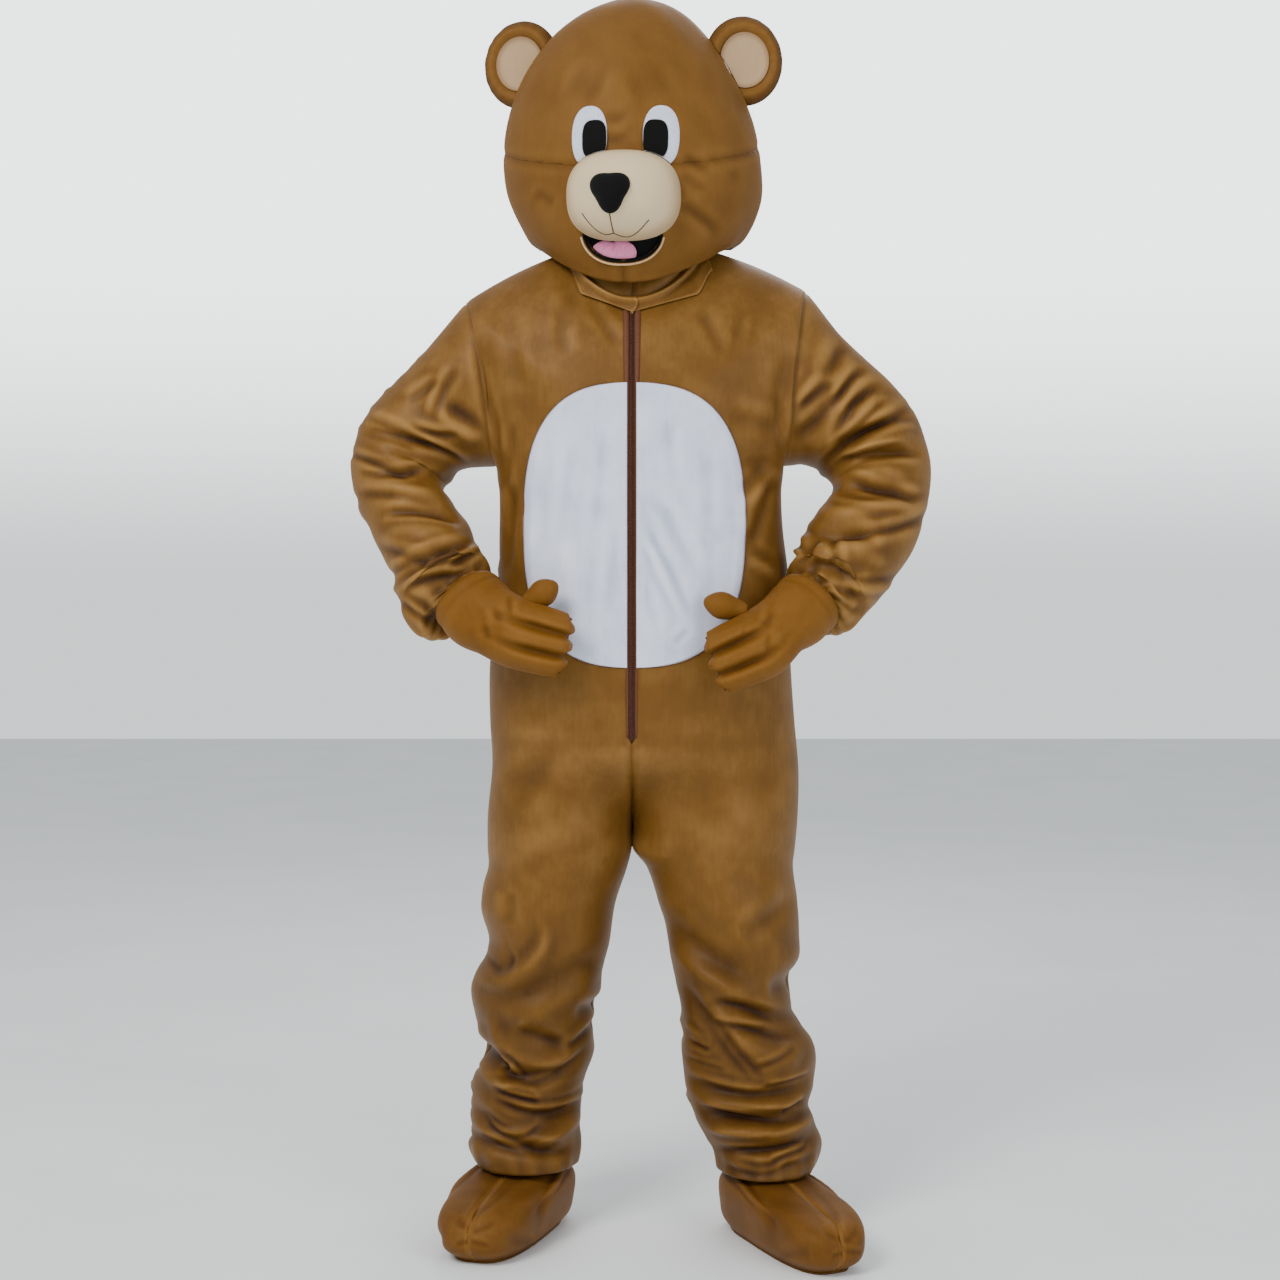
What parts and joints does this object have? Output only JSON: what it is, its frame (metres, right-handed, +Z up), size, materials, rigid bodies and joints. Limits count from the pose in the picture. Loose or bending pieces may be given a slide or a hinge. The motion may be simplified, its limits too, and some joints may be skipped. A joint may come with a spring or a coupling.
{
  "type": "bear mascot costume",
  "caption": "Worn full-body bear costume: a zipped plush suit with a pale belly, a hollow padded head, mittens and shoe covers, standing with the hands at the belly.",
  "frame": {"origin": "between the shoulder seams, 1.440 m above the soles, where the wearer carries the costume", "axes": "+X to the wearer's left, -Y to the front, +Z up"},
  "size_m": [0.8814, 0.4495, 1.868],
  "materials": {
    "plush": "short-pile velour, matt",
    "belly_plush": "short-pile velour, matt",
    "cream_plush": "short plush, matt",
    "ear_plush": "short plush, matt",
    "black_felt": "felt, matt",
    "white_felt": "felt, matt",
    "pink_felt": "felt, matt",
    "zip_tape": "woven tape, matt",
    "zip_coil": "satin",
    "zip_metal": "aged, satin"
  },
  "bodies": {
    "root": {"belly_left": "belly_plush", "belly_right": "belly_plush", "collar_left": "plush", "collar_right": "plush", "ear_left": "plush", "ear_lining_left": "ear_plush", "ear_lining_right": "ear_plush", "ear_right": "plush", "eye_left": "white_felt", "eye_right": "white_felt", "head_back_left": "plush", "head_back_right": "plush", "head_brow": "plush", "head_cheek_left": "plush", "head_cheek_right": "plush", "lip_trim": "cream_plush", "mitten_left_back": "plush", "mitten_left_palm": "plush", "mitten_left_thumb": "plush", "mitten_right_back": "plush", "mitten_right_palm": "plush", "mitten_right_thumb": "plush", "mouth_cloth": "black_felt", "muzzle": "cream_plush", "nose": "black_felt", "pupil_left": "black_felt", "pupil_right": "black_felt", "shoe_left_inner": "plush", "shoe_left_outer": "plush", "shoe_left_sole": "plush", "shoe_right_inner": "plush", "shoe_right_outer": "plush", "shoe_right_sole": "plush", "sleeve_left": "plush", "sleeve_right": "plush", "suit_back_left": "plush", "suit_back_right": "plush", "suit_front_left": "plush", "suit_front_right": "plush", "tongue": "pink_felt", "zip_coil": "zip_coil", "zip_slider": "zip_metal", "zip_tape_left": "zip_tape", "zip_tape_right": "zip_tape"}
  },
  "joints": []
}
